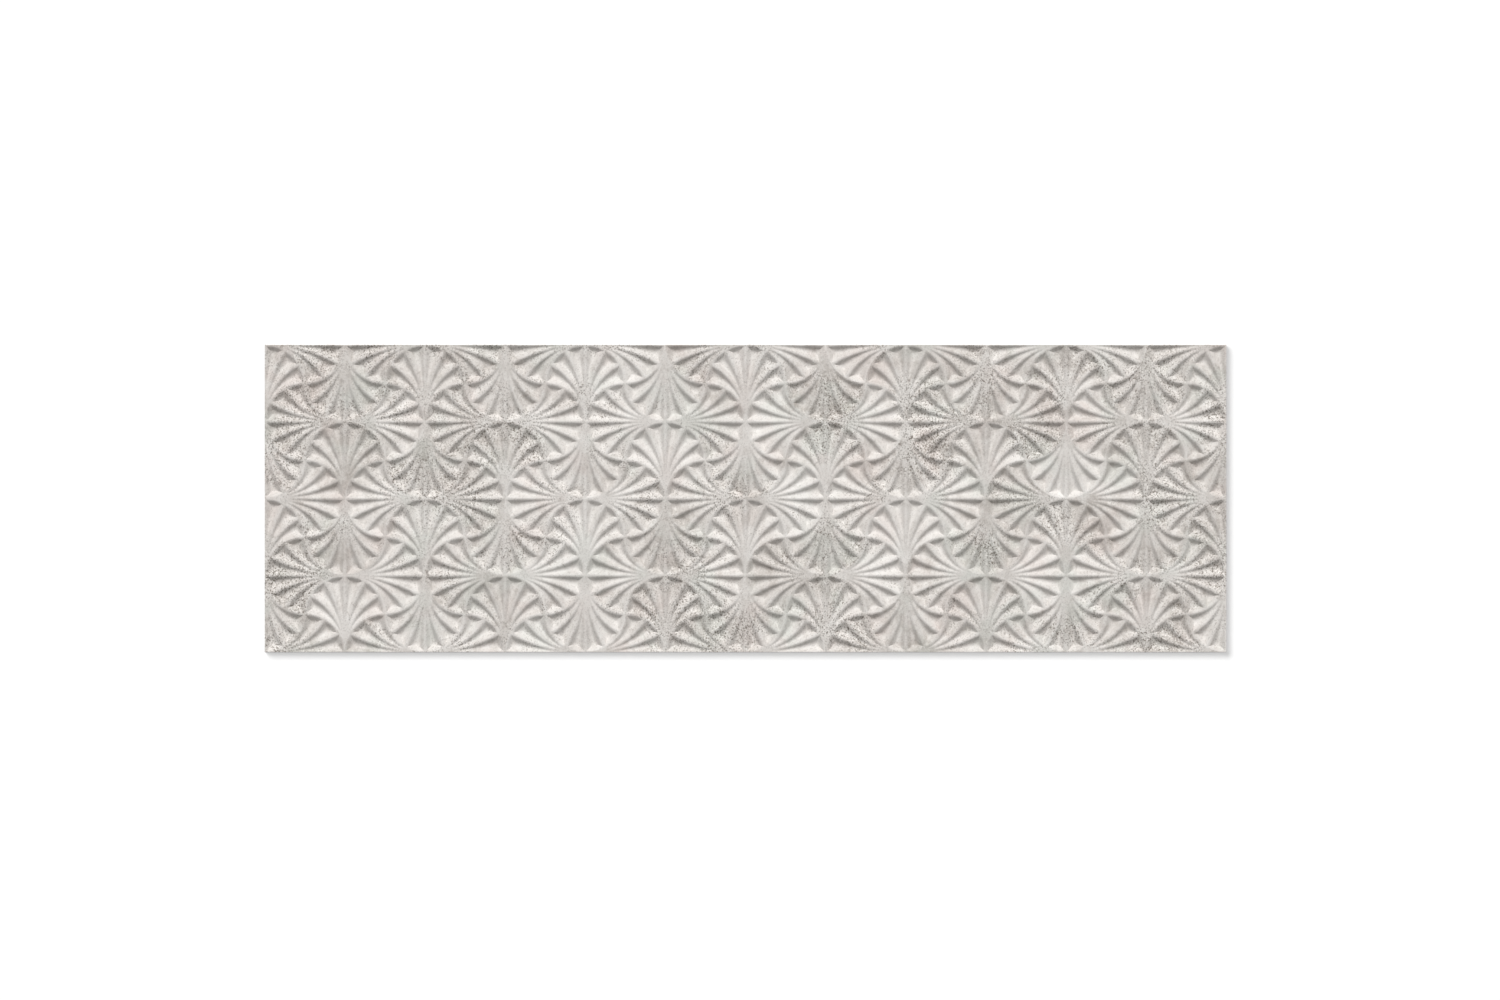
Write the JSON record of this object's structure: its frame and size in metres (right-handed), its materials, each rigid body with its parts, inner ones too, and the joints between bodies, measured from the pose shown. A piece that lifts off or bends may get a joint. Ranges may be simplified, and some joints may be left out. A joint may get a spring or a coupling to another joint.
{
  "type": "porcelain tile",
  "caption": "Long rectangular porcelain wall tile with a matte stone-grey face pressed in a relief of interlocking fluted fans and a keyed back for bedding in adhesive",
  "frame": {"origin": "middle of the back, on the plane of its bearing lands", "axes": "+X along the tile's length, +Y across it, +Z out of the decorated face"},
  "size_m": [1, 0.32, 0.012],
  "materials": {
    "glazed_face": "matte stone-grey glaze with fine dark and white speckle on fired porcelain"
  },
  "bodies": {
    "root": {"tile": "glazed_face"}
  },
  "joints": []
}
